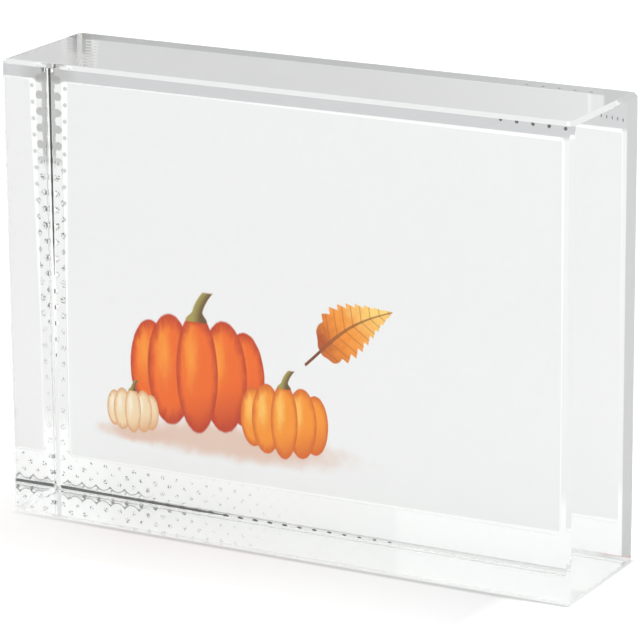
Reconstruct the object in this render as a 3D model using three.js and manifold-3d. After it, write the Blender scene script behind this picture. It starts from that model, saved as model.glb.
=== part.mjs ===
// Photo crystal: a clear glass block that stands on its long edge, with a photo print behind it.
//
// The block is sawn, ground and polished, and every edge has a narrow flat arris.
// Four thin layers are bonded to its back: the clear adhesive that wets the print to the glass,
// the print, a bonding film and a white backing sheet. Round the print the film has a raised
// border that sticks to the glass. The border is embossed with small round air cells in
// staggered rows, which show through the glass as rows of dots. The rows run slightly out of
// true, so that they meet the film's edge one cell after another and leave it notched.
//
// Sizes are in millimetres. +X runs to the right across the picture, +Y to the back and +Z up.
// The origin lies under the middle of the whole object, on the surface that it stands on.

import * as THREE from 'three';
import { mergeGeometries, mergeVertices } from 'three/addons/utils/BufferGeometryUtils.js';
import Module from 'manifold-3d';

const wasm = await Module();
wasm.setup();

// Print and the clear adhesive in front of it, which share one outline
const printWidth = 89.5;
const printHeight = 63.5;
const printThickness = 0.25;
const clearAdhesiveThickness = 0.15;
const printCornerRadius = 0.8;

// Glass block, whose front is as large as the print and the clear margins round it. The print
// is laid by hand, so the margin to its left is narrower than the one to its right
const leftMargin = 2.4;
const rightMargin = 8.1;
const topMargin = 6.1;
const bottomMargin = 5.9;
const blockDepth = 23.5;
const arris = 0.6;

// Bonding film. Every other row of its air cells is shifted along by half a spacing, and the
// rows are turned clockwise by filmTurn degrees
const filmWebThickness = 0.2;
const cellSpacing = 2.73;
const cellDiameter = 0.8;
const cellSides = 7;
const cellWall = 0.15;
const filmTurn = 1.8;
const printClearance = 0.2;

// Backing sheet
const backingThickness = 0.6;
const backingCornerRadius = 1.2;
const backingEdgeBreak = 0.15;

// The film and the backing sheet stop this far inside the block's arris
const backMargin = 0.1;

// Facets of each quarter round
const cornerSegments = 4;

const blockWidth = leftMargin + printWidth + rightMargin;
const blockHeight = bottomMargin + printHeight + topMargin;
const middleZ = blockHeight / 2;

// The print's middle, seen from the block's middle
const printMiddleX = (leftMargin - rightMargin) / 2;
const printMiddleZ = (bottomMargin - topMargin) / 2;

// The film's border is as thick as what it lies round
const borderHeight = clearAdhesiveThickness + printThickness;
const backStack = borderHeight + filmWebThickness + backingThickness;
const overallDepth = blockDepth + backStack;

// Planes along Y, from the front of the block to the back of the sheet
const blockFrontY = -overallDepth / 2;
const blockBackY = blockFrontY + blockDepth;
const printFrontY = blockBackY + clearAdhesiveThickness;
const filmWebFrontY = blockBackY + borderHeight;
const backingFrontY = filmWebFrontY + filmWebThickness;

// The film and the backing sheet share one outline
const backWidth = blockWidth - 2 * (arris + backMargin);
const backHeight = blockHeight - 2 * (arris + backMargin);

// The window in the film's border, where the print lies
const windowWidth = printWidth + 2 * printClearance;
const windowHeight = printHeight + 2 * printClearance;

const clearGlass = new THREE.MeshStandardMaterial({
  color: 0xeef4f2,
  roughness: 0.02,
  metalness: 0,
  transparent: true,
  opacity: 0.35,
});
const clearAdhesive = new THREE.MeshStandardMaterial({
  color: 0xf6f7f5,
  roughness: 0.1,
  metalness: 0,
  transparent: true,
  opacity: 0.4,
});
const printPaper = new THREE.MeshStandardMaterial({ color: 0xf1f1f1, roughness: 0.35, metalness: 0 });
const filmPlastic = new THREE.MeshStandardMaterial({ color: 0xd6d8d5, roughness: 0.4, metalness: 0 });
const backingPlastic = new THREE.MeshStandardMaterial({ color: 0xf4f4f2, roughness: 0.6, metalness: 0 });

// A rectangle about the origin whose corners are cut off at 45 degrees.
function cutCornerRectangle(width, height, cut) {
  const x = width / 2;
  const y = height / 2;
  const shape = new THREE.Shape();
  shape.moveTo(-x + cut, -y);
  shape.lineTo(x - cut, -y);
  shape.lineTo(x, -y + cut);
  shape.lineTo(x, y - cut);
  shape.lineTo(x - cut, y);
  shape.lineTo(-x + cut, y);
  shape.lineTo(-x, y - cut);
  shape.lineTo(-x, -y + cut);
  shape.closePath();
  return shape;
}

// A rectangle with rounded corners, with its middle at middleX, middleY.
function roundedRectangle(width, height, radius, middleX = 0, middleY = 0) {
  const right = middleX + width / 2 - radius;
  const left = middleX - width / 2 + radius;
  const top = middleY + height / 2 - radius;
  const bottom = middleY - height / 2 + radius;
  const quarter = Math.PI / 2;
  const shape = new THREE.Shape();
  shape.absarc(right, bottom, radius, -quarter, 0, false);
  shape.absarc(right, top, radius, 0, quarter, false);
  shape.absarc(left, top, radius, quarter, 2 * quarter, false);
  shape.absarc(left, bottom, radius, 2 * quarter, 3 * quarter, false);
  shape.closePath();
  return shape;
}

// Stands a flat outline up as a plate, thickness deep from frontY to the back. edgeBreak
// chamfers the outline's edges, front and back.
function uprightPlate(outline, thickness, frontY, edgeBreak = 0) {
  const plate = new THREE.ExtrudeGeometry(outline, {
    depth: thickness - 2 * edgeBreak,
    curveSegments: cornerSegments,
    bevelEnabled: edgeBreak > 0,
    bevelThickness: edgeBreak,
    bevelSize: edgeBreak,
    bevelOffset: -edgeBreak,
    bevelSegments: 1,
  });
  plate.rotateX(Math.PI / 2);
  plate.translate(0, frontY + thickness - edgeBreak, middleZ);
  return plate;
}

function toSolid(geometry) {
  const bare = geometry.clone();
  bare.deleteAttribute('normal');
  bare.deleteAttribute('uv');
  const merged = mergeVertices(bare, 1e-5);
  return new wasm.Manifold(new wasm.Mesh({
    numProp: 3,
    vertProperties: merged.attributes.position.array,
    triVerts: new Uint32Array(merged.index.array),
  }));
}

function toGeometry(solid) {
  const mesh = solid.getMesh();
  const geometry = new THREE.BufferGeometry();
  geometry.setAttribute('position', new THREE.BufferAttribute(mesh.vertProperties, 3));
  geometry.setIndex(new THREE.BufferAttribute(mesh.triVerts, 1));
  geometry.computeVertexNormals();
  return geometry;
}

// Where an air cell goes along one axis, given the film's half size there. A cell that would
// leave a thin wall at the film's edge opens on the edge instead.
function clearOfEdge(place, half) {
  const wall = half - Math.abs(place) - cellDiameter / 2;
  return wall < cellWall ? Math.sign(place) * half : place;
}

// Says whether an air cell centred at x across and z up from the middle lies on the film's
// border, away from its rounded corners and with a wall towards the print's window.
function onBorder(x, z) {
  const inSide = backWidth / 2 - Math.abs(x);
  const inTop = backHeight / 2 - Math.abs(z);
  const onFilm = Math.min(inSide, inTop) > -cellDiameter / 4;
  const inCorner = Math.max(inSide, inTop) < backingCornerRadius + cellDiameter;
  const pastSide = Math.abs(x - printMiddleX) - windowWidth / 2;
  const pastTop = Math.abs(z - printMiddleZ) - windowHeight / 2;
  return onFilm && !inCorner && Math.max(pastSide, pastTop) > cellDiameter / 2 + cellWall;
}

// Round plugs across the film's border, to cut its air cells with.
function cellPlugs() {
  const turn = THREE.MathUtils.degToRad(filmTurn);
  const halfSpacing = cellSpacing / 2;
  const reach = Math.ceil(Math.hypot(backWidth, backHeight) / cellSpacing);
  const length = 3 * borderHeight;
  const plugs = [];
  for (let column = -reach; column <= reach; column += 1) {
    for (let row = -reach; row <= reach; row += 1) {
      const along = column * halfSpacing;
      const up = row * halfSpacing;
      const x = along * Math.cos(turn) + up * Math.sin(turn);
      const z = up * Math.cos(turn) - along * Math.sin(turn);
      if ((column + row) % 2 === 0 && onBorder(x, z)) {
        const plug = new THREE.CylinderGeometry(cellDiameter / 2, cellDiameter / 2, length, cellSides);
        const plugX = clearOfEdge(x, backWidth / 2);
        const plugZ = clearOfEdge(z, backHeight / 2);
        plugs.push(plug.translate(plugX, blockBackY, middleZ + plugZ));
      }
    }
  }
  return toSolid(mergeGeometries(plugs));
}

// The glass block, with the arris on all twelve edges.
function crystalBlock() {
  const outline = cutCornerRectangle(blockWidth, blockHeight, arris);
  return uprightPlate(outline, blockDepth, blockFrontY, arris);
}

// The print's outline, grown by clearance all round.
function printOutline(clearance = 0) {
  const width = printWidth + 2 * clearance;
  const height = printHeight + 2 * clearance;
  const radius = printCornerRadius + clearance;
  return roundedRectangle(width, height, radius, printMiddleX, printMiddleZ);
}

// A layer with the print's outline, thickness deep from frontY to the back.
function printLayer(thickness, frontY) {
  return uprightPlate(printOutline(), thickness, frontY);
}

// The outline that the bonding film and the backing sheet share.
function backOutline() {
  return roundedRectangle(backWidth, backHeight, backingCornerRadius);
}

// The bonding film: a thin web behind everything, with the embossed border round the print.
function bondingFilm() {
  const web = toSolid(uprightPlate(backOutline(), filmWebThickness, filmWebFrontY));
  const border = backOutline();
  border.holes.push(printOutline(printClearance));
  const depth = borderHeight + filmWebThickness / 2;
  const raised = toSolid(uprightPlate(border, depth, blockBackY)).subtract(cellPlugs());
  return toGeometry(web.add(raised));
}

// The white sheet that closes the back.
function backingSheet() {
  return uprightPlate(backOutline(), backingThickness, backingFrontY, backingEdgeBreak);
}

const crystal = new THREE.Group();

function addPart(name, geometry, material) {
  const mesh = new THREE.Mesh(geometry, material);
  mesh.name = name;
  crystal.add(mesh);
}

addPart('crystal_block', crystalBlock(), clearGlass);
addPart('clear_adhesive', printLayer(clearAdhesiveThickness, blockBackY), clearAdhesive);
addPart('photo_print', printLayer(printThickness, printFrontY), printPaper);
addPart('bonding_film', bondingFilm(), filmPlastic);
addPart('backing_sheet', backingSheet(), backingPlastic);

export default crystal;
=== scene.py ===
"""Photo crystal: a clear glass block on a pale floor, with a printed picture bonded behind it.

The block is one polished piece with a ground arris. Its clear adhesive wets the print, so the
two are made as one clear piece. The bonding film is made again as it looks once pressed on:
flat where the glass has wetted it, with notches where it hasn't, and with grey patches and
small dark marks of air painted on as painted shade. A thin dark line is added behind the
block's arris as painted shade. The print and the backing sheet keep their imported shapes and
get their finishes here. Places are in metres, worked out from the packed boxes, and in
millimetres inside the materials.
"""

import math

import bpy
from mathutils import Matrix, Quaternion, Vector


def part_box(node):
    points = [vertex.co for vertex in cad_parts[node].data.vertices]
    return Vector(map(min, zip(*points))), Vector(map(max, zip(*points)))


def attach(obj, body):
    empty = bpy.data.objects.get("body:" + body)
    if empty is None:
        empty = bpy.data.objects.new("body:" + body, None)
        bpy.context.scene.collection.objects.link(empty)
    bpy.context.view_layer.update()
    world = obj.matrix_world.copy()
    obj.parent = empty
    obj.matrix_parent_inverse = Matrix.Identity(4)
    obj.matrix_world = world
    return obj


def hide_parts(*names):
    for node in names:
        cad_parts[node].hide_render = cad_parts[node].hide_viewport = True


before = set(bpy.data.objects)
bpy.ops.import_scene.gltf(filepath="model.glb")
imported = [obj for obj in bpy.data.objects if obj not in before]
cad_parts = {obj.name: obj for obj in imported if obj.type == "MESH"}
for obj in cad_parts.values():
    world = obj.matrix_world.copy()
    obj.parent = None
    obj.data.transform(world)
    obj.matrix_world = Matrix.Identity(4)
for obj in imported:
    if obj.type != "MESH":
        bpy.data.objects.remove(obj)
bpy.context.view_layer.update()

MM = 0.001

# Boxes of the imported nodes
block_low, block_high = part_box("crystal_block")
adhesive_low, adhesive_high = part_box("clear_adhesive")
print_low, print_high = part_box("photo_print")
film_low, film_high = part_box("bonding_film")
middle_z = (block_low.z + block_high.z) / 2

# Glass block
ARRIS = 0.6 * MM
EASED_EDGE = 0.05 * MM
# The glass reaches this far past its back face, so that what touches it shows wetted
WETTING = 0.04 * MM
GLASS_IOR = 1.52

# Bonding film, pressed up to the print. Rows of air cells open on its left and bottom edges
PRINT_GAP = 0.02 * MM
PRINT_CORNER = 0.8 * MM
FILM_WEB = 0.2 * MM
FILM_CORNER = 1.2 * MM
CELL_SPACING = 2.73 * MM
CELL_RADIUS = 0.4 * MM
CELL_WALL = 0.15 * MM
# The film spreads this far past its packed outline, to where the arris begins
FILM_SPREAD = 0.08 * MM
FILM_TURN = math.radians(1.8)
LAST_NOTCH = -22.0 * MM
# Height of the cell at the block's middle above the middle itself
CELL_RISE = 0.255 * MM
# A height at which a row of cells meets the left edge
ROW_HEIGHT = 36.7 * MM

# Dark line of painted shade behind the back arris, a hair clear of the glass. Each of its two runs
# thins out from one share of the radius to another, and slants from one depth inside the
# block's side to another
SHADE_LINE_RADIUS = 0.2 * MM
SHADE_LINE_GAP = 0.02 * MM
SHADE_LINE_STEPS = 48
LEFT_TOP = block_high.z - 0.3 * MM
LEFT_END = ROW_HEIGHT
LEFT_SHARES = (1.0, 0.5)
LEFT_INSETS = (0.36 * MM, 0.41 * MM)
LEFT_BEADS = 5
BOTTOM_START = block_low.x + ARRIS
BOTTOM_END = -17.96 * MM
BOTTOM_SHARES = (0.7, 0.5)
BOTTOM_INSETS = (0.475 * MM, 0.26 * MM)
BOTTOM_BEADS = 12
# Lumps on the bottom line: how many, how much higher each is than the next, how far they rise
# above the line, and their half sizes
LUMPS = 6
LUMP_STEP = 0.02 * MM
LUMP_RISE = 0.05 * MM
LUMP_SIZE = (0.6 * MM, 0.1 * MM, 0.12 * MM)

# The picture is printed a little out of square on its paper: each edge's slope and its place in
# millimetres, and the least width of the white border
PICTURE_LEFT = (0.0229, -47.97)
PICTURE_RIGHT = (-0.0082, 41.93)
PICTURE_FOOT = (0.0064, 6.25)
PICTURE_HEAD = (-0.0068, 69.0)
PICTURE_BORDER = 0.25

# What is printed, in millimetres from the part's origin: each pumpkin's middle, half size and
# its deep, main and light tones, the shadows under them, and the leaf
ORANGE = ((0.50, 0.035, 0.003, 1), (0.84, 0.135, 0.006, 1), (0.93, 0.32, 0.025, 1))
AMBER = ((0.66, 0.12, 0.008, 1), (0.90, 0.29, 0.018, 1), (0.97, 0.56, 0.12, 1))
CREAM = ((0.70, 0.36, 0.17, 1), (0.86, 0.66, 0.42, 1), (0.93, 0.84, 0.68, 1))
STEM_TONES = ((0.36, 0.30, 0.075, 1), (0.13, 0.075, 0.02, 1))
PUMPKINS = (
    ((-23.0, 0.0, 23.5), (12.5, 1.0, 10.2), ORANGE),
    ((-7.0, 0.0, 17.6), (8.0, 1.0, 6.4), AMBER),
    ((-35.2, 0.0, 15.6), (4.9, 1.0, 3.9), CREAM),
)
SHADOWS = (((-17.0, 0.0, 12.6), (26.0, 1000.0, 3.6)), ((-34.0, 0.0, 11.8), (8.5, 1000.0, 1.9)))
SHADOW_TONE = (0.74, 0.52, 0.42, 1)
LEAF_FOOT = (-0.5, 0.0, 30.0)
LEAF_RISE = math.radians(32)
LEAF_LENGTH = 15.5
LEAF_TONES = ((0.44, 0.075, 0.006, 1), (0.86, 0.27, 0.02, 1), (0.95, 0.66, 0.18, 1))
RIB_TONE = (0.28, 0.075, 0.012, 1)
STALK_TONE = (0.20, 0.05, 0.015, 1)

# Tones of the glass, of its arris at the back left, tinted grey as painted shade, and of what lamps see
# through it
GLASS_TINT = (0.985, 0.993, 0.989, 1)
BACK_LEFT_SHADE_TINT = (0.92, 0.925, 0.92, 1)
LAMP_TINT = (0.96, 0.97, 0.965, 1)

# Greys of painted shade on the film: above the print, at the right and at the foot of its left
# corner. Then the dark tones of its marks of air, also painted shade
TOP_SHADE_TONE = (0.59, 0.592, 0.603, 1)
RIGHT_SHADE_TONE = (0.56, 0.565, 0.565, 1)
FOOT_SHADE_TONE = (0.4, 0.4, 0.385, 1)
CRUMB_SHADE_TONE = (0.08, 0.08, 0.075, 1)
LOBE_SHADE_TONES = ((0.20, 0.20, 0.19, 1), (0.44, 0.44, 0.42, 1))
SCALLOP_SHADE_TONE = (0.05, 0.052, 0.05, 1)

# Camera, aimed at a point on the plane of the block's front
CAMERA_TURN = math.radians(28.633)
CAMERA_RISE = math.radians(15.869)
CAMERA_ROLL = math.radians(-0.442)
CAMERA_DISTANCE = 617.9 * MM
CAMERA_AIM = Vector((7.29 * MM, block_low.y, 39.87 * MM))
CAMERA_LENS = 225.4
SENSOR_WIDTH = 36.0

# The floor lies a hair below the block
FLOOR_DROP = 0.05 * MM

# Light of the sky on matt surfaces; the camera and the glass see it white
SKY_FILL = 0.5


def select_only(*pieces):
    """Deselects all, then selects the pieces, the first one active."""
    bpy.ops.object.select_all(action="DESELECT")
    for piece in pieces:
        piece.select_set(True)
    bpy.context.view_layer.objects.active = pieces[0]


def add_box(name, low, high):
    """A box between two corners, with its place in its mesh."""
    bpy.ops.object.select_all(action="DESELECT")
    bpy.ops.mesh.primitive_cube_add(size=1, location=(low + high) / 2, scale=high - low)
    bpy.ops.object.transform_apply(location=True, rotation=True, scale=True)
    piece = bpy.context.object
    piece.name = name
    piece.data.name = name
    return piece


def bevel_edges(piece, chosen, offset, segments=1):
    """Bevels the edges of which chosen(edge's two ends) is true."""
    select_only(piece)
    bpy.ops.object.mode_set(mode="EDIT")
    bpy.ops.mesh.select_mode(type="EDGE")
    bpy.ops.mesh.select_all(action="DESELECT")
    bpy.ops.object.mode_set(mode="OBJECT")
    points = piece.data.vertices
    for edge in piece.data.edges:
        start, end = (points[i].co for i in edge.vertices)
        edge.select = chosen(start, end)
    bpy.ops.object.mode_set(mode="EDIT")
    bpy.ops.mesh.bevel(offset=offset, offset_type="OFFSET", segments=segments, affect="EDGES")
    bpy.ops.object.mode_set(mode="OBJECT")


def combine(piece, other, operation):
    """Joins another closed solid to the piece, or cuts it out: UNION or DIFFERENCE."""
    select_only(piece)
    step = piece.modifiers.new("Combined", "BOOLEAN")
    step.operation = operation
    step.solver = "EXACT"
    step.object = other
    bpy.ops.object.modifier_apply(modifier=step.name)
    bpy.data.objects.remove(other)


def copy_to(piece, place, size=(1, 1, 1)):
    """A copy of the piece, with its own mesh, at a place and a size."""
    twin = piece.copy()
    twin.data = piece.data.copy()
    twin.location = place
    twin.scale = size
    bpy.context.scene.collection.objects.link(twin)
    return twin


def join_pieces(name, pieces):
    """Makes the pieces one object, with its place in its mesh."""
    select_only(*pieces)
    bpy.ops.object.join()
    bpy.ops.object.transform_apply(location=True, rotation=True, scale=True)
    joined = bpy.context.object
    joined.name = name
    joined.data.name = name
    return joined


def give_material(piece, material):
    piece.data.materials.clear()
    piece.data.materials.append(material)


# Camera


def place_camera():
    flat = math.cos(CAMERA_RISE)
    back = Vector((math.sin(CAMERA_TURN) * flat, -math.cos(CAMERA_TURN) * flat, math.sin(CAMERA_RISE)))
    camera = bpy.data.objects.new("Camera", bpy.data.cameras.new("Camera"))
    bpy.context.scene.collection.objects.link(camera)
    camera.data.lens = CAMERA_LENS
    camera.data.sensor_width = SENSOR_WIDTH
    camera.data.clip_start = 0.05
    camera.data.clip_end = 50
    camera.rotation_mode = "QUATERNION"
    camera.location = CAMERA_AIM + back * CAMERA_DISTANCE
    roll = Quaternion((0, 0, 1), CAMERA_ROLL)
    camera.rotation_quaternion = (-back).to_track_quat("-Z", "Y") @ roll
    bpy.context.scene.camera = camera


place_camera()


# Shader nodes


class Tree:
    """A node tree and short ways to add the nodes that this scene uses."""

    def __init__(self, tree):
        self.tree = tree

    def add(self, kind, **settings):
        node = self.tree.nodes.new(kind)
        for name, value in settings.items():
            setattr(node, name, value)
        return node

    def feed(self, socket, value):
        """Links an output to the socket, or sets the socket to a plain value."""
        if isinstance(value, bpy.types.NodeSocket):
            self.tree.links.new(value, socket)
        else:
            socket.default_value = value

    def math(self, operation, first, second=0.0, third=0.0, clamp=False):
        node = self.add("ShaderNodeMath", operation=operation, use_clamp=clamp)
        for socket, value in zip(node.inputs, (first, second, third)):
            self.feed(socket, value)
        return node.outputs[0]

    def band(self, value, start, end, low=0.0, high=1.0):
        """Goes softly from low to high as the value goes from start to end."""
        node = self.add("ShaderNodeMapRange", interpolation_type="SMOOTHSTEP")
        for socket, given in zip(node.inputs, (value, start, end, low, high)):
            self.feed(socket, given)
        return node.outputs["Result"]

    def mix(self, share, first, second):
        node = self.add("ShaderNodeMix", data_type="RGBA")
        self.feed(node.inputs["Factor"], share)
        self.feed(node.inputs[6], first)
        self.feed(node.inputs[7], second)
        return node.outputs[2]

    def vector(self, operation, first, second=(0.0, 0.0, 0.0)):
        node = self.add("ShaderNodeVectorMath", operation=operation)
        self.feed(node.inputs[0], first)
        self.feed(node.inputs[1], second)
        return node.outputs["Value" if operation == "LENGTH" else "Vector"]

    def join(self, x, y, z):
        node = self.add("ShaderNodeCombineXYZ")
        for socket, value in zip(node.inputs, (x, y, z)):
            self.feed(socket, value)
        return node.outputs[0]

    def product(self, first, *others):
        for other in others:
            first = self.math("MULTIPLY", first, other)
        return first

    def most(self, first, *others):
        for other in others:
            first = self.math("MAXIMUM", first, other)
        return first

    def least(self, first, second):
        return self.math("MINIMUM", first, second)

    def noise(self, vector, scale, detail=2.0, roughness=0.5):
        node = self.add("ShaderNodeTexNoise")
        self.feed(node.inputs["Vector"], vector)
        node.inputs["Scale"].default_value = scale
        node.inputs["Detail"].default_value = detail
        node.inputs["Roughness"].default_value = roughness
        return node.outputs["Fac"]

    def object_mm(self):
        """Object coordinates in millimetres."""
        place = self.add("ShaderNodeTexCoord")
        scaled = self.add("ShaderNodeMapping")
        scaled.inputs["Scale"].default_value = (1 / MM, 1 / MM, 1 / MM)
        self.feed(scaled.inputs["Vector"], place.outputs["Object"])
        return scaled.outputs["Vector"]

    def split(self, vector):
        node = self.add("ShaderNodeSeparateXYZ")
        self.feed(node.inputs[0], vector)
        return node.outputs["X"], node.outputs["Y"], node.outputs["Z"]

    def group(self, shared, **values):
        node = self.add("ShaderNodeGroup", node_tree=shared)
        for name, value in values.items():
            self.feed(node.inputs[name.replace("_", " ").capitalize()], value)
        return node.outputs


def shared_group(name, takes, gives):
    """A node group with the named inputs and outputs: (Tree, its inputs, its output node)."""
    tree = bpy.data.node_groups.new(name, "ShaderNodeTree")
    for label, kind, value in takes:
        socket = tree.interface.new_socket(label, in_out="INPUT", socket_type=kind)
        if value is not None:
            socket.default_value = value
    for label, kind in gives:
        tree.interface.new_socket(label, in_out="OUTPUT", socket_type=kind)
    nodes = Tree(tree)
    return nodes, nodes.add("NodeGroupInput").outputs, nodes.add("NodeGroupOutput").inputs


def new_material(name):
    material = bpy.data.materials.new(name)
    material.use_nodes = True
    material.node_tree.nodes.clear()
    nodes = Tree(material.node_tree)
    surface = nodes.add("ShaderNodeOutputMaterial").inputs["Surface"]
    return material, nodes, surface


FLOAT = "NodeSocketFloat"
COLOUR = "NodeSocketColor"
VECTOR = "NodeSocketVector"


def polished_glass():
    """Clear optical glass. The front is polished best. The top and the right side keep a slight
    haze, and the arris a little more. Lamps shine straight through."""
    material, nodes, surface = new_material("polished_glass")
    glass = nodes.add("ShaderNodeBsdfPrincipled")
    glass.inputs["IOR"].default_value = GLASS_IOR
    glass.inputs["Transmission Weight"].default_value = 1.0
    place = nodes.object_mm()
    x, y, z = nodes.split(place)
    left, right, top = block_low.x / MM, block_high.x / MM, block_high.z / MM
    on_top = nodes.band(z, top - 0.04, top - 0.01)
    on_right = nodes.band(x, right - 0.04, right - 0.01)
    facing = nodes.split(nodes.add("ShaderNodeNewGeometry").outputs["Normal"])
    square = nodes.most(*(nodes.math("ABSOLUTE", part) for part in facing))
    on_arris = nodes.band(square, 0.95, 0.85)
    # Painted shade: the arris at the back left is tinted grey
    back_left = nodes.product(on_arris, nodes.band(y, 0.0, 5.0), nodes.band(x, left + 0.8, left + 0.5))
    nodes.feed(glass.inputs["Base Color"], nodes.mix(back_left, GLASS_TINT, BACK_LEFT_SHADE_TINT))
    ground = nodes.noise(place, 1.2, 4.0, 0.6)
    haze = nodes.most(nodes.product(on_top, 0.10), nodes.product(on_right, 0.018))
    haze = nodes.most(haze, nodes.product(on_arris, nodes.band(ground, 0.3, 0.7, 0.07, 0.11)))
    nodes.feed(glass.inputs["Roughness"], haze)
    clear = nodes.add("ShaderNodeBsdfTransparent")
    clear.inputs["Color"].default_value = LAMP_TINT
    path = nodes.add("ShaderNodeLightPath")
    lamp_ray = nodes.most(path.outputs["Is Shadow Ray"], path.outputs["Is Diffuse Ray"])
    both = nodes.add("ShaderNodeMixShader")
    nodes.feed(both.inputs[0], lamp_ray)
    nodes.feed(both.inputs[1], glass.outputs[0])
    nodes.feed(both.inputs[2], clear.outputs[0])
    nodes.feed(surface, both.outputs[0])
    return material


def grey(level):
    return (level, level, level, 1.0)


def cell_rows():
    """The film's rows of air cells: how far a place is from the middle of the nearest cell, in
    mm, and a chance value for that cell."""
    takes = [("Place", VECTOR, None)]
    nodes, given, out = shared_group("cell_rows", takes, [("Distance", FLOAT), ("Chance", FLOAT)])
    pitch = CELL_SPACING / math.sqrt(2) / MM
    turn = math.pi / 4 - FILM_TURN
    centred = nodes.vector("SUBTRACT", given["Place"], (0.0, 0.0, (middle_z + CELL_RISE) / MM))
    rows = nodes.add("ShaderNodeMapping")
    rows.inputs["Scale"].default_value = (1 / pitch, 0.0, 1 / pitch)
    rows.inputs["Rotation"].default_value = (0.0, turn, 0.0)
    nodes.feed(rows.inputs["Vector"], centred)
    shifted = nodes.vector("ADD", rows.outputs[0], (0.5, 0.5, 0.5))
    cell = nodes.vector("FLOOR", shifted)
    upright = nodes.add("ShaderNodeMapping")
    upright.inputs["Scale"].default_value = (pitch, pitch, pitch)
    upright.inputs["Rotation"].default_value = (0.0, -turn, 0.0)
    nodes.feed(upright.inputs["Vector"], nodes.vector("SUBTRACT", rows.outputs[0], cell))
    nodes.feed(out["Distance"], nodes.vector("LENGTH", upright.outputs[0]))
    chance = nodes.add("ShaderNodeTexWhiteNoise", noise_dimensions="3D")
    nodes.feed(chance.inputs["Vector"], cell)
    nodes.feed(out["Chance"], chance.outputs["Value"])
    return nodes.tree


def painted_pumpkin():
    """One ribbed pumpkin with its stem, painted in soft strokes. Middle and Half Size are in mm."""
    takes = [("Place", VECTOR, None), ("Middle", VECTOR, None), ("Half size", VECTOR, (1, 1, 1)),
             ("Deep", COLOUR, None), ("Main", COLOUR, None), ("Light", COLOUR, None)]
    nodes, given, out = shared_group("painted_pumpkin", takes, [("Color", COLOUR), ("Mask", FLOAT)])
    from_middle = nodes.vector("SUBTRACT", given["Place"], given["Middle"])
    local = nodes.vector("DIVIDE", from_middle, given["Half size"])
    u, _, v = nodes.split(local)
    stretched = nodes.add("ShaderNodeMapping")
    stretched.inputs["Scale"].default_value = (9.0, 0.0, 2.2)
    nodes.feed(stretched.inputs["Vector"], local)
    strokes = nodes.noise(stretched.outputs[0], 1.6, 4.0, 0.7)
    rim = nodes.math("MULTIPLY_ADD", strokes, 0.05, -0.025)

    # The far ribs first, the middle one last
    colour = given["Deep"]
    mask = 0.0
    outer, inner = (0.30, 0.78), (0.34, 0.92)
    ribs = [(-0.70, *outer), (0.70, *outer), (-0.40, *inner), (0.40, *inner), (0.0, 0.31, 1.0)]
    for middle, width, height in ribs:
        side = nodes.math("DIVIDE", nodes.math("SUBTRACT", u, middle), width)
        tall = nodes.math("DIVIDE", v, height)
        reach = nodes.math("ADD", nodes.vector("LENGTH", nodes.join(side, 0.0, tall)), rim)
        body = nodes.band(reach, 1.02, 0.97)
        edge = nodes.band(nodes.math("MULTIPLY_ADD", strokes, 0.35, reach), 0.85, 1.2)
        beside = nodes.math("MULTIPLY", nodes.math("ADD", side, 0.3), 1.7)
        above = nodes.math("MULTIPLY", nodes.math("SUBTRACT", tall, 0.3), 1.15)
        glint = nodes.vector("LENGTH", nodes.join(beside, 0.0, above))
        lit = nodes.product(nodes.band(nodes.math("MULTIPLY_ADD", strokes, 0.9, glint), 1.35, 0.45), 0.85)
        tone = nodes.mix(lit, given["Main"], given["Light"])
        tone = nodes.mix(edge, tone, given["Deep"])
        colour = nodes.mix(body, colour, tone)
        mask = nodes.most(mask, body)

    # Shade below and to the right, and in the dimple at the top
    low = nodes.band(nodes.math("MULTIPLY_ADD", u, -0.5, v), -0.25, -1.1, 0.0, 0.7)
    colour = nodes.mix(low, colour, given["Deep"])
    below_stem = nodes.math("MULTIPLY", nodes.math("SUBTRACT", v, 0.94), 5.0)
    dimple = nodes.vector("LENGTH", nodes.join(nodes.math("MULTIPLY", u, 3.2), 0.0, below_stem))
    colour = nodes.mix(nodes.band(dimple, 1.0, 0.5, 0.0, 0.65), colour, given["Deep"])

    # Stem, curved to the right
    height = nodes.math("SUBTRACT", v, 0.86)
    curve = nodes.math("MULTIPLY", nodes.math("MULTIPLY", height, height), 0.75)
    across = nodes.math("SUBTRACT", u, curve)
    half = nodes.band(height, 0.0, 0.16, 0.16, 0.075)
    aside = nodes.math("SUBTRACT", nodes.math("ABSOLUTE", across), half)
    in_height = nodes.product(nodes.band(height, -0.04, 0.0), nodes.band(height, 0.5, 0.46))
    stem = nodes.product(nodes.band(aside, 0.012, -0.012), in_height)
    green = nodes.mix(nodes.band(across, -0.07, 0.07), *STEM_TONES)
    nodes.feed(out["Color"], nodes.mix(stem, colour, green))
    nodes.feed(out["Mask"], nodes.most(mask, stem))
    return nodes.tree


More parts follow.
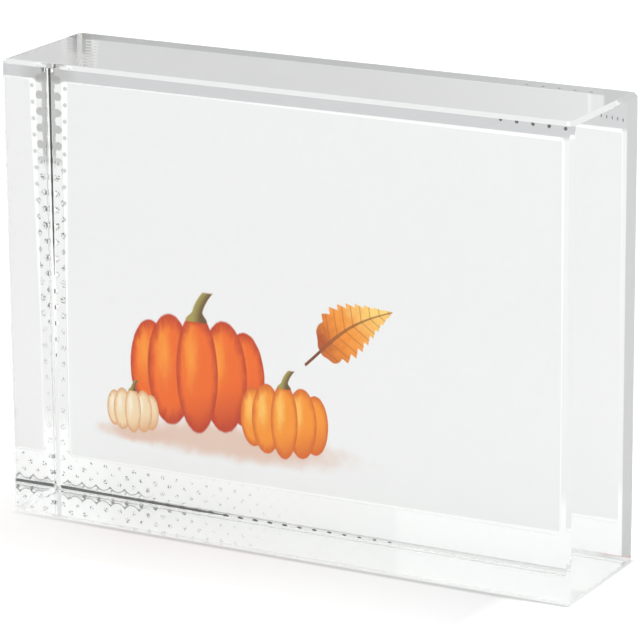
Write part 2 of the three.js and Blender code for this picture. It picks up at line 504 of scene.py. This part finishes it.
def painted_leaf():
    """One toothed autumn leaf. Place is along the leaf in X, from 0 at its foot to 1 at its tip,
    and across it in Z."""
    takes = [("Place", VECTOR, None)]
    takes += [(tone, COLOUR, None) for tone in ("Deep", "Main", "Light")]
    nodes, given, out = shared_group("painted_leaf", takes, [("Color", COLOUR), ("Mask", FLOAT)])
    s, _, t = nodes.split(given["Place"])
    swing = nodes.math("MULTIPLY", nodes.math("SINE", nodes.math("MULTIPLY", s, math.pi)), 0.07)
    side = nodes.math("SUBTRACT", t, swing)
    away = nodes.math("ABSOLUTE", side)
    strokes = nodes.noise(given["Place"], 9.0, 4.0, 0.65)

    # The blade swells quickly from the foot and runs out to a point, with teeth along it
    base = nodes.math("POWER", nodes.most(s, 0.0001), 0.62)
    swell = nodes.math("SINE", nodes.math("MULTIPLY", base, math.pi))
    slanted = nodes.math("MULTIPLY_ADD", away, -4.0, nodes.math("MULTIPLY", s, 9.0))
    tooth = nodes.math("FRACT", slanted)
    half = nodes.math("MULTIPLY", swell, nodes.math("MULTIPLY_ADD", tooth, -0.07, 0.30))
    blade = nodes.product(
        nodes.band(nodes.math("SUBTRACT", away, half), 0.008, -0.008),
        nodes.band(s, 0.0, 0.02), nodes.band(s, 1.0, 0.985))

    warm = nodes.math("MULTIPLY_ADD", strokes, 0.45, s)
    colour = nodes.mix(nodes.band(warm, 0.25, 0.62), given["Deep"], given["Main"])
    colour = nodes.mix(nodes.band(warm, 0.5, 1.15), colour, given["Light"])
    lower = nodes.band(side, 0.01, -0.03, 0.0, 0.28)
    colour = nodes.mix(lower, colour, given["Main"])
    vein = nodes.math("ABSOLUTE", nodes.math("SUBTRACT", tooth, 0.5))
    colour = nodes.mix(nodes.product(nodes.band(vein, 0.10, 0.03), 0.5), colour, given["Deep"])
    rib_half = nodes.band(s, 0.0, 1.0, 0.02, 0.006)
    rib = nodes.band(nodes.math("SUBTRACT", away, rib_half), 0.006, -0.004)
    colour = nodes.mix(nodes.product(rib, 0.8), colour, RIB_TONE)

    # Stalk
    stalk = nodes.product(
        nodes.band(away, 0.02, 0.012), nodes.band(s, -0.24, -0.22), nodes.band(s, 0.03, 0.01))
    colour = nodes.mix(stalk, colour, STALK_TONE)
    nodes.feed(out["Color"], colour)
    nodes.feed(out["Mask"], nodes.most(blade, stalk))
    return nodes.tree


def still_life(nodes, place, ground):
    """The printed picture: three pumpkins on a soft shadow and a leaf, over the pale ground."""
    haze = nodes.noise(place, 0.35, 3.0)
    for middle, half in SHADOWS:
        local = nodes.vector("SUBTRACT", place, middle)
        reach = nodes.vector("LENGTH", nodes.vector("DIVIDE", local, half))
        soft = nodes.band(nodes.math("MULTIPLY_ADD", haze, 0.5, reach), 1.3, 0.65, 0.0, 0.9)
        ground = nodes.mix(soft, ground, SHADOW_TONE)
    pumpkin = painted_pumpkin()
    for middle, half, (deep, main, light) in PUMPKINS:
        painted = nodes.group(
            pumpkin, Place=place, Middle=middle, Half_size=half, Deep=deep, Main=main, Light=light)
        ground = nodes.mix(painted["Mask"], ground, painted["Color"])
    lie = nodes.add("ShaderNodeMapping", vector_type="TEXTURE")
    lie.inputs["Location"].default_value = LEAF_FOOT
    lie.inputs["Rotation"].default_value = (0.0, -LEAF_RISE, 0.0)
    lie.inputs["Scale"].default_value = (LEAF_LENGTH, LEAF_LENGTH, LEAF_LENGTH)
    nodes.feed(lie.inputs["Vector"], place)
    deep, main, light = LEAF_TONES
    leaf = nodes.group(painted_leaf(), Place=lie.outputs[0], Deep=deep, Main=main, Light=light)
    return nodes.mix(leaf["Mask"], ground, leaf["Color"])


rows_of_cells = cell_rows()


def photo_paper():
    """White photo paper with a narrow border and the picture printed on it. The border has a dark
    speck of painted shade at each cell of the film behind it, where air is left."""
    material, nodes, surface = new_material("photo_paper")
    paper = nodes.add("ShaderNodeBsdfPrincipled")
    paper.inputs["Specular IOR Level"].default_value = 0.1
    place = nodes.object_mm()
    x, _, z = nodes.split(place)
    left = nodes.most(nodes.math("MULTIPLY_ADD", z, *PICTURE_LEFT), print_low.x / MM + PICTURE_BORDER)
    right = nodes.least(nodes.math("MULTIPLY_ADD", z, *PICTURE_RIGHT), print_high.x / MM - PICTURE_BORDER)
    foot = nodes.most(nodes.math("MULTIPLY_ADD", x, *PICTURE_FOOT), print_low.z / MM + PICTURE_BORDER)
    head = nodes.least(nodes.math("MULTIPLY_ADD", x, *PICTURE_HEAD), print_high.z / MM - PICTURE_BORDER)
    across = nodes.least(nodes.math("SUBTRACT", x, left), nodes.math("SUBTRACT", right, x))
    upward = nodes.least(nodes.math("SUBTRACT", z, foot), nodes.math("SUBTRACT", head, z))
    inside = nodes.band(nodes.least(across, upward), -0.05, 0.06)
    fibres = nodes.noise(place, 0.9, 5.0, 0.65)
    picture = nodes.mix(fibres, grey(0.803), grey(0.832))
    # Painted light: the ground is lighter towards the bottom, making up for the lesser light there
    picture = nodes.mix(nodes.band(z, 50.0, 5.0, 0.0, 0.35), picture, grey(0.93))
    picture = still_life(nodes, place, picture)
    cells = nodes.group(rows_of_cells, Place=place)
    # Painted shade: dark specks at the film's cells near the left edge
    speckled = nodes.product(nodes.band(x, -46.2, -46.5), nodes.band(z, 36.0, 44.0), 0.45)
    speck = nodes.product(nodes.band(cells["Distance"], 0.42, 0.3), speckled)
    border = nodes.mix(speck, grey(0.97), grey(0.18))
    nodes.feed(paper.inputs["Base Color"], nodes.mix(inside, border, picture))
    nodes.feed(paper.inputs["Roughness"], nodes.band(fibres, 0.2, 0.8, 0.34, 0.46))
    nodes.feed(surface, paper.outputs[0])
    return material


def embossed_film():
    """White film, painted grey above the print and at the right as painted shade. Its marks of air
    at the cells, most of them to the left and at the bottom, are painted dark as painted shade."""
    material, nodes, surface = new_material("embossed_film")
    film = nodes.add("ShaderNodeBsdfPrincipled")
    film.inputs["Specular IOR Level"].default_value = 0.1
    place = nodes.object_mm()
    x, _, z = nodes.split(place)
    left, bottom = film_low.x / MM, film_low.z / MM
    over_print = print_high.z / MM
    cells = nodes.group(rows_of_cells, Place=place)
    smear = nodes.noise(place, 1.6, 3.0, 0.6)
    crumbs = nodes.noise(place, 3.4, 2.0, 0.6)

    # It is whitest low down, as painted light making up for the lesser light there, and a little
    # less so under the left half of the print
    low_down = nodes.band(z, 14.0, 9.0)
    white = nodes.mix(low_down, grey(0.85), grey(0.99))
    dull = nodes.product(low_down, nodes.band(x, -43.0, -38.0), nodes.band(x, 14.0, 12.5))
    white = nodes.mix(dull, white, grey(0.94))
    # Painted shade: grey above the print, darker towards the left corner, and grey at the right
    topped = nodes.mix(nodes.band(x, -44.0, -47.0), TOP_SHADE_TONE, grey(0.5))
    base = nodes.mix(nodes.band(z, over_print - 0.7, over_print + 0.3), white, topped)
    base = nodes.mix(nodes.band(x, 43.9, 44.4), base, RIGHT_SHADE_TONE)

    # Crumbs of air at the cells, painted dark as painted shade
    fading = nodes.product(nodes.band(z, 10.0, 50.0, 0.45, 1.0), nodes.band(z, 58.0, 55.0))
    by_left = nodes.product(nodes.band(x, -46.5, -47.5), fading)
    by_bottom = nodes.product(nodes.band(z, 6.0, 5.2), nodes.band(x, 2.0, -38.0))
    strength = nodes.most(by_left, by_bottom)
    size = nodes.math("MULTIPLY_ADD", cells["Chance"], 0.2, nodes.math("MULTIPLY_ADD", by_left, 0.22, 0.25))
    reach = nodes.math("SUBTRACT", nodes.math("MULTIPLY_ADD", smear, 0.3, cells["Distance"]), size)
    crumb = nodes.product(nodes.band(reach, 0.2, 0.08), nodes.band(crumbs, 0.5, 0.58), strength)
    base = nodes.mix(nodes.math("MULTIPLY", crumb, 0.92), base, CRUMB_SHADE_TONE)

    # One short row of dark dots of painted shade above the print, at the right
    in_row = nodes.product(nodes.band(x, 30.0, 30.2), nodes.band(x, 43.2, 43.0))
    in_row = nodes.product(in_row, nodes.band(z, 70.2, 70.3), nodes.band(z, 71.9, 71.8))
    beside = nodes.vector("ADD", place, (CELL_SPACING / 2 / MM, 0.0, 0.0))
    from_dot = nodes.group(rows_of_cells, Place=beside)["Distance"]
    dot = nodes.band(nodes.math("MULTIPLY_ADD", smear, 0.25, from_dot), 0.48, 0.36)
    base = nodes.mix(nodes.product(dot, in_row, 0.9), base, grey(0.05))

    # Grey stripe of painted shade down the top of the left edge, where the film is dry, with a lobe
    # at each cell beside it
    high_up = nodes.band(nodes.math("MULTIPLY_ADD", smear, 3.0, z), 55.5, 59.0)
    stripe = nodes.band(nodes.math("MULTIPLY_ADD", smear, 0.6, x), left + 0.9, left + 0.8)
    wide = nodes.math("MULTIPLY_ADD", x, 1.25, -1.25 * (left + 0.95))
    row_phase = 0.5 - ROW_HEIGHT / CELL_SPACING
    row = nodes.math("FRACT", nodes.math("MULTIPLY_ADD", z, MM / CELL_SPACING, row_phase))
    tall = nodes.math("MULTIPLY_ADD", row, 1.35 * CELL_SPACING / MM, -0.675 * CELL_SPACING / MM)
    lobe_reach = nodes.math("MULTIPLY_ADD", smear, 0.5, nodes.vector("LENGTH", nodes.join(wide, 0.0, tall)))
    lobe = nodes.band(lobe_reach, 1.26, 1.14)
    patch = nodes.product(nodes.most(stripe, lobe), high_up)
    patch_grey = nodes.mix(crumbs, *LOBE_SHADE_TONES)
    base = nodes.mix(nodes.math("MULTIPLY", patch, 0.65), base, patch_grey)

    # Dark line of painted shade along the bottom edge, where the film is dry, scalloped round the
    # cells
    from_row = nodes.math("SUBTRACT", x, BOTTOM_END / MM)
    wave = nodes.math("SINE", nodes.math("MULTIPLY", from_row, math.pi * MM / CELL_SPACING))
    bow = nodes.math("ABSOLUTE", wave)
    crest = nodes.math("MULTIPLY_ADD", bow, -0.7, bottom + 0.78)
    wavering = nodes.math("MULTIPLY_ADD", smear, -0.25, z)
    off_line = nodes.math("ABSOLUTE", nodes.math("SUBTRACT", wavering, crest))
    thick = nodes.band(bow, 0.5, 0.0, 0.07, 0.2)
    scallop = nodes.band(nodes.math("SUBTRACT", off_line, thick), 0.07, -0.05)
    scallop = nodes.product(scallop, nodes.band(x, -31.0, -34.5))
    base = nodes.mix(nodes.math("MULTIPLY", scallop, 0.65), base, SCALLOP_SHADE_TONE)
    # Painted shade along the very bottom of the film at its left corner
    foot_shade = nodes.product(nodes.band(z, bottom + 0.5, bottom + 0.3), nodes.band(x, -41.0, -46.0))
    base = nodes.mix(nodes.math("MULTIPLY", foot_shade, 0.35), base, FOOT_SHADE_TONE)

    nodes.feed(film.inputs["Base Color"], base)
    nodes.feed(film.inputs["Roughness"], nodes.band(smear, 0.2, 0.8, 0.3, 0.5))
    nodes.feed(surface, film.outputs[0])
    return material


def dark_shade_line():
    """Dark grey, a little uneven: the painted shade of the line behind the arris."""
    material, nodes, surface = new_material("dark_shade_line")
    sealer = nodes.add("ShaderNodeBsdfPrincipled")
    uneven = nodes.noise(nodes.object_mm(), 0.8, 3.0)
    tone = nodes.mix(uneven, grey(0.004), (0.03, 0.032, 0.03, 1))
    nodes.feed(sealer.inputs["Base Color"], tone)
    sealer.inputs["Roughness"].default_value = 0.6
    sealer.inputs["Specular IOR Level"].default_value = 0.1
    nodes.feed(surface, sealer.outputs[0])
    return material


def backing_plastic():
    """Matt white sheet with a fine grain."""
    material, nodes, surface = new_material("backing_plastic")
    sheet = nodes.add("ShaderNodeBsdfPrincipled")
    place = nodes.object_mm()
    grain = nodes.noise(place, 2.2, 5.0, 0.7)
    cloud = nodes.noise(place, 0.06, 3.0, 0.5)
    tone = nodes.mix(grain, (0.825, 0.825, 0.815, 1), (0.865, 0.865, 0.855, 1))
    tone = nodes.mix(nodes.band(cloud, 0.35, 0.65, 0.0, 0.3), tone, grey(0.84))
    nodes.feed(sheet.inputs["Base Color"], tone)
    nodes.feed(sheet.inputs["Roughness"], nodes.band(grain, 0.3, 0.7, 0.5, 0.66))
    relief = nodes.add("ShaderNodeBump")
    relief.inputs["Strength"].default_value = 0.2
    relief.inputs["Distance"].default_value = 0.03 * MM
    nodes.feed(relief.inputs["Height"], grain)
    nodes.feed(sheet.inputs["Normal"], relief.outputs[0])
    nodes.feed(surface, sheet.outputs[0])
    return material


# Pieces


def runs_through(start, end):
    """True for an edge that runs from the front to the back."""
    return abs(end.y - start.y) > WETTING


def tapered_rod(name, start, step, radii):
    """A rod of eight sides from start, as thick at each step as its radius says."""
    bpy.ops.object.select_all(action="DESELECT")
    turn = step.to_track_quat("Z", "Y").to_euler()
    bpy.ops.mesh.primitive_circle_add(
        vertices=8, radius=radii[0], fill_type="NGON", location=start, rotation=turn)
    bpy.ops.object.transform_apply(location=True, rotation=True, scale=True)
    rod = bpy.context.object
    rod.name = name
    bpy.ops.object.mode_set(mode="EDIT")
    bpy.ops.mesh.select_all(action="SELECT")
    place = start
    for before, radius in zip(radii, radii[1:]):
        place = place + step
        bpy.ops.mesh.extrude_region_move(TRANSFORM_OT_translate={"value": step})
        share = radius / before
        bpy.ops.transform.resize(value=(share, share, share), center_override=place)
    bpy.ops.mesh.select_all(action="SELECT")
    bpy.ops.mesh.normals_make_consistent(inside=False)
    bpy.ops.object.mode_set(mode="OBJECT")
    return rod


def shade_line_drop():
    """A drop of the dark line of painted shade, 1 m in radius, to be copied at the beads' sizes."""
    bpy.ops.object.select_all(action="DESELECT")
    bpy.ops.mesh.primitive_ico_sphere_add(subdivisions=2, radius=1)
    return bpy.context.object


def edge_shade_line():
    """The thin dark line behind the block's back arris, down the left and along the bottom: a dark
    piece put there as painted shade. It thins out and breaks into beads, one at each row of air
    cells and each smaller than the one before."""
    parts = []
    drop = shade_line_drop()

    def behind(inset, radius):
        """How far back a rod lies that touches the arris this far inside the block's side."""
        return block_high.y + WETTING - ARRIS + inset + math.sqrt(2) * (radius + SHADE_LINE_GAP)

    def run_down(thick, thin, length, knots_from, knot_size, end_share):
        """Radii along a line that thins out, with a knot at each row of cells."""
        radii = []
        for i in range(SHADE_LINE_STEPS + 1):
            run = i / SHADE_LINE_STEPS
            radius = thick + (thin - thick) * run
            swell = max(0.0, math.cos(2 * math.pi * (1 - run) * length / CELL_SPACING))
            if run > knots_from:
                radius *= 1 + knot_size * swell
            radii.append(radius * min(1.0, 4 * (1 - run) + end_share))
        return radii

    # Down the left edge. The line is thinner just under the top face
    thick, thin = (share * SHADE_LINE_RADIUS for share in LEFT_SHARES)
    first, last = LEFT_INSETS
    radii = run_down(thick, thin, LEFT_TOP - LEFT_END, 0.4, 0.25, 0.3)
    radii[0] *= 0.6
    radii[1] *= 0.85
    start = Vector((block_low.x + first, behind(first, thick), LEFT_TOP))
    end = Vector((block_low.x + last, behind(last, thin), LEFT_END))
    parts.append(tapered_rod("shade_line_left", start, (end - start) / SHADE_LINE_STEPS, radii))
    for i in range(1, LEFT_BEADS + 1):
        size = SHADE_LINE_RADIUS * (0.5 - 0.03 * i)
        place = Vector((end.x, behind(last, size), end.z - i * CELL_SPACING))
        parts.append(copy_to(drop, place, (size, size, 5.0 * size)))

    # Along the bottom edge, where it comes closer to the floor and lumps up at the rows of cells
    thick, thin = (share * SHADE_LINE_RADIUS for share in BOTTOM_SHARES)
    first, last = BOTTOM_INSETS
    radii = run_down(thick, thin, BOTTOM_END - BOTTOM_START, 0.45, 0.2, 0.4)
    start = Vector((BOTTOM_START, behind(first, thick), block_low.z + first))
    end = Vector((BOTTOM_END, behind(last, thin), block_low.z + last))
    parts.append(tapered_rod("shade_line_bottom", start, (end - start) / SHADE_LINE_STEPS, radii))
    for i in range(-LUMPS, 0):
        height = last - i * LUMP_STEP + LUMP_RISE
        place = Vector((BOTTOM_END + i * CELL_SPACING, behind(height, LUMP_SIZE[1]), block_low.z + height))
        parts.append(copy_to(drop, place, LUMP_SIZE))
    for i in range(BOTTOM_BEADS):
        size = SHADE_LINE_RADIUS * (0.66 - 0.026 * i)
        place = Vector((BOTTOM_END + i * CELL_SPACING, behind(last, size), block_low.z + last))
        parts.append(copy_to(drop, place, (4.4 * size, size, size)))
    bpy.data.objects.remove(drop)
    return join_pieces("edge_shade_line", parts)


def glass_block():
    """The block, with the clear adhesive that fills the gap to the print joined on."""
    low = block_low.copy()
    high = block_high.copy()
    high.y += WETTING
    block = add_box("glass_block", low, high)
    bevel_edges(block, lambda start, end: True, ARRIS)
    bevel_edges(block, lambda start, end: True, EASED_EDGE)
    # The adhesive ends inside the print's face and the film's wall
    spread = Vector((PRINT_GAP + WETTING, 0, PRINT_GAP + WETTING))
    pad_high = adhesive_high + spread
    pad_high.y += WETTING
    pad = add_box("adhesive_pad", adhesive_low - spread, pad_high)
    bevel_edges(pad, runs_through, PRINT_CORNER, 4)
    combine(block, pad, "UNION")
    return block


def edge_notches():
    """Round plugs where rows of air cells meet the film's left and bottom edges."""
    bpy.ops.object.select_all(action="DESELECT")
    depth = 3 * (film_high.y - film_low.y)
    bpy.ops.mesh.primitive_cylinder_add(
        vertices=12, radius=CELL_RADIUS, depth=depth, rotation=(math.pi / 2, 0, 0))
    bpy.ops.object.transform_apply(location=True, rotation=True, scale=True)
    plug = bpy.context.object
    plugs = []
    middle_y = (film_low.y + film_high.y) / 2
    corner = FILM_CORNER + CELL_RADIUS
    reach = math.ceil((film_high.x - film_low.x) / CELL_SPACING)
    for column in range(-reach, reach + 1):
        for row in range(-reach, reach + 1):
            along = column * CELL_SPACING / 2
            up = row * CELL_SPACING / 2
            x = along * math.cos(FILM_TURN) + up * math.sin(FILM_TURN)
            z = middle_z + CELL_RISE + up * math.cos(FILM_TURN) - along * math.sin(FILM_TURN)
            staggered = (column + row) % 2 == 0
            in_left = -CELL_RADIUS / 2 < x - film_low.x < CELL_RADIUS + CELL_WALL
            in_bottom = -CELL_RADIUS / 2 < z - film_low.z < CELL_RADIUS + CELL_WALL
            if staggered and in_left and film_low.z + corner < z < film_high.z - corner:
                plugs.append(copy_to(plug, Vector((film_low.x, middle_y, z))))
            if staggered and in_bottom and film_low.x + corner < x < LAST_NOTCH:
                plugs.append(copy_to(plug, Vector((x, middle_y, film_low.z))))
    bpy.data.objects.remove(plug)
    return join_pieces("edge_notches", plugs)


def pressed_film():
    """The bonding film as pressed on: a thin web and a border that lies close round the print."""
    spread = Vector((FILM_SPREAD, 0, FILM_SPREAD))
    film = add_box("pressed_film", film_low - spread, film_high + spread)
    bevel_edges(film, runs_through, FILM_CORNER, 4)
    gap = Vector((PRINT_GAP, 0, PRINT_GAP))
    low = print_low - gap
    high = print_high + gap
    low.y = film_low.y - FILM_WEB
    high.y = film_high.y - FILM_WEB
    window = add_box("print_window", low, high)
    bevel_edges(window, runs_through, PRINT_CORNER, 4)
    combine(film, window, "DIFFERENCE")
    combine(film, edge_notches(), "DIFFERENCE")
    return film


block = glass_block()
give_material(block, polished_glass())
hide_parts("crystal_block", "clear_adhesive")
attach(block, "root")

film = pressed_film()
give_material(film, embossed_film())
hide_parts("bonding_film")
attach(film, "root")

# The dark line behind the arris is painted shade
line = edge_shade_line()
give_material(line, dark_shade_line())
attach(line, "root")

give_material(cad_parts["photo_print"], photo_paper())
give_material(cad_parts["backing_sheet"], backing_plastic())


# Floor, lamps and world


def pale_floor():
    bpy.ops.object.select_all(action="DESELECT")
    bpy.ops.mesh.primitive_plane_add(size=8, location=(0, 0, -FLOOR_DROP))
    bpy.ops.object.transform_apply(location=True, rotation=True, scale=True)
    floor = bpy.context.object
    floor.name = "floor"
    material, nodes, surface = new_material("floor_white")
    matt = nodes.add("ShaderNodeBsdfDiffuse")
    glow = nodes.add("ShaderNodeEmission")
    path = nodes.add("ShaderNodeLightPath")
    x, y, z = nodes.split(nodes.object_mm())
    past_side = nodes.math("SUBTRACT", nodes.math("ABSOLUTE", x), block_high.x / MM)
    past_depth = nodes.math("SUBTRACT", nodes.math("ABSOLUTE", y), -block_low.y / MM)
    past = nodes.most(past_side, past_depth)

    # The contact shadow is darkest along the front edge, and fades to the left
    in_front = nodes.math("SUBTRACT", block_low.y / MM, y)
    near = nodes.product(nodes.band(in_front, -0.8, 0.0), nodes.band(in_front, 1.2, 0.2))
    near = nodes.product(near, nodes.band(x, -52.0, -28.0, 0.3, 1.0), nodes.band(past_side, 0.5, -1.0))
    nodes.feed(matt.inputs["Color"], nodes.mix(near, grey(0.82), grey(0.55)))

    # The camera sees the floor white away from the block. Beside its right end painted light
    # brightens it over its shade. Through the glass it is a little brighter too
    far = nodes.band(past, 14.0, 24.0, 0.02, 0.30)
    by_right = nodes.product(nodes.band(x, 36.0, 50.0), nodes.band(past, -0.2, 0.6), 0.6)
    lit = nodes.product(nodes.most(far, by_right), path.outputs["Is Camera Ray"])
    through = nodes.product(path.outputs["Is Transmission Ray"], 0.12)
    nodes.feed(glow.inputs["Strength"], nodes.math("ADD", lit, through))
    both = nodes.add("ShaderNodeAddShader")
    nodes.feed(both.inputs[0], matt.outputs[0])
    nodes.feed(both.inputs[1], glow.outputs[0])
    nodes.feed(surface, both.outputs[0])
    give_material(floor, material)


def soft_lamp(name, place, aim, size, power):
    lamp = bpy.data.lights.new(name, "AREA")
    lamp.shape = "SQUARE"
    lamp.size = size
    lamp.energy = power
    holder = bpy.data.objects.new(name, lamp)
    bpy.context.scene.collection.objects.link(holder)
    holder.location = place
    holder.rotation_mode = "QUATERNION"
    holder.rotation_quaternion = (Vector(aim) - Vector(place)).to_track_quat("-Z", "Y")
    holder.visible_camera = False
    holder.visible_glossy = False
    holder.visible_transmission = False


def studio_world():
    world = bpy.data.worlds.new("studio")
    world.use_nodes = True
    world.node_tree.nodes.clear()
    nodes = Tree(world.node_tree)
    path = nodes.add("ShaderNodeLightPath")
    seen = nodes.math("ADD", path.outputs["Is Camera Ray"], path.outputs["Is Glossy Ray"])
    seen = nodes.math("ADD", seen, path.outputs["Is Transmission Ray"], clamp=True)
    direction = nodes.add("ShaderNodeTexCoord").outputs["Generated"]
    x, y, z = nodes.split(direction)
    # A grey flag stands behind the block, to its left. Only the polished faces mirror it
    behind = nodes.product(nodes.band(y, 0.3, 0.6), nodes.band(z, 0.08, 0.2))
    flag = nodes.product(behind, nodes.band(x, -0.32, -0.5), path.outputs["Is Glossy Ray"])
    flag = nodes.product(flag, nodes.math("SUBTRACT", 1.0, path.outputs["Is Transmission Ray"]))
    bright = nodes.band(flag, 0.0, 1.0, 1.0, 0.35)
    sky = nodes.add("ShaderNodeBackground")
    level = nodes.math("MULTIPLY_ADD", nodes.math("SUBTRACT", bright, SKY_FILL), seen, SKY_FILL)
    nodes.feed(sky.inputs["Strength"], level)
    nodes.feed(nodes.add("ShaderNodeOutputWorld").inputs["Surface"], sky.outputs[0])
    bpy.context.scene.world = world


pale_floor()
soft_lamp("front_lamp", (0.5, -1.2, 0.9), (0, 0, 0.04), 0.9, 15)
soft_lamp("top_lamp", (-0.1, 0.35, 1.2), (0, 0, 0.04), 0.7, 9)
studio_world()

bpy.context.scene.view_settings.view_transform = "Standard"
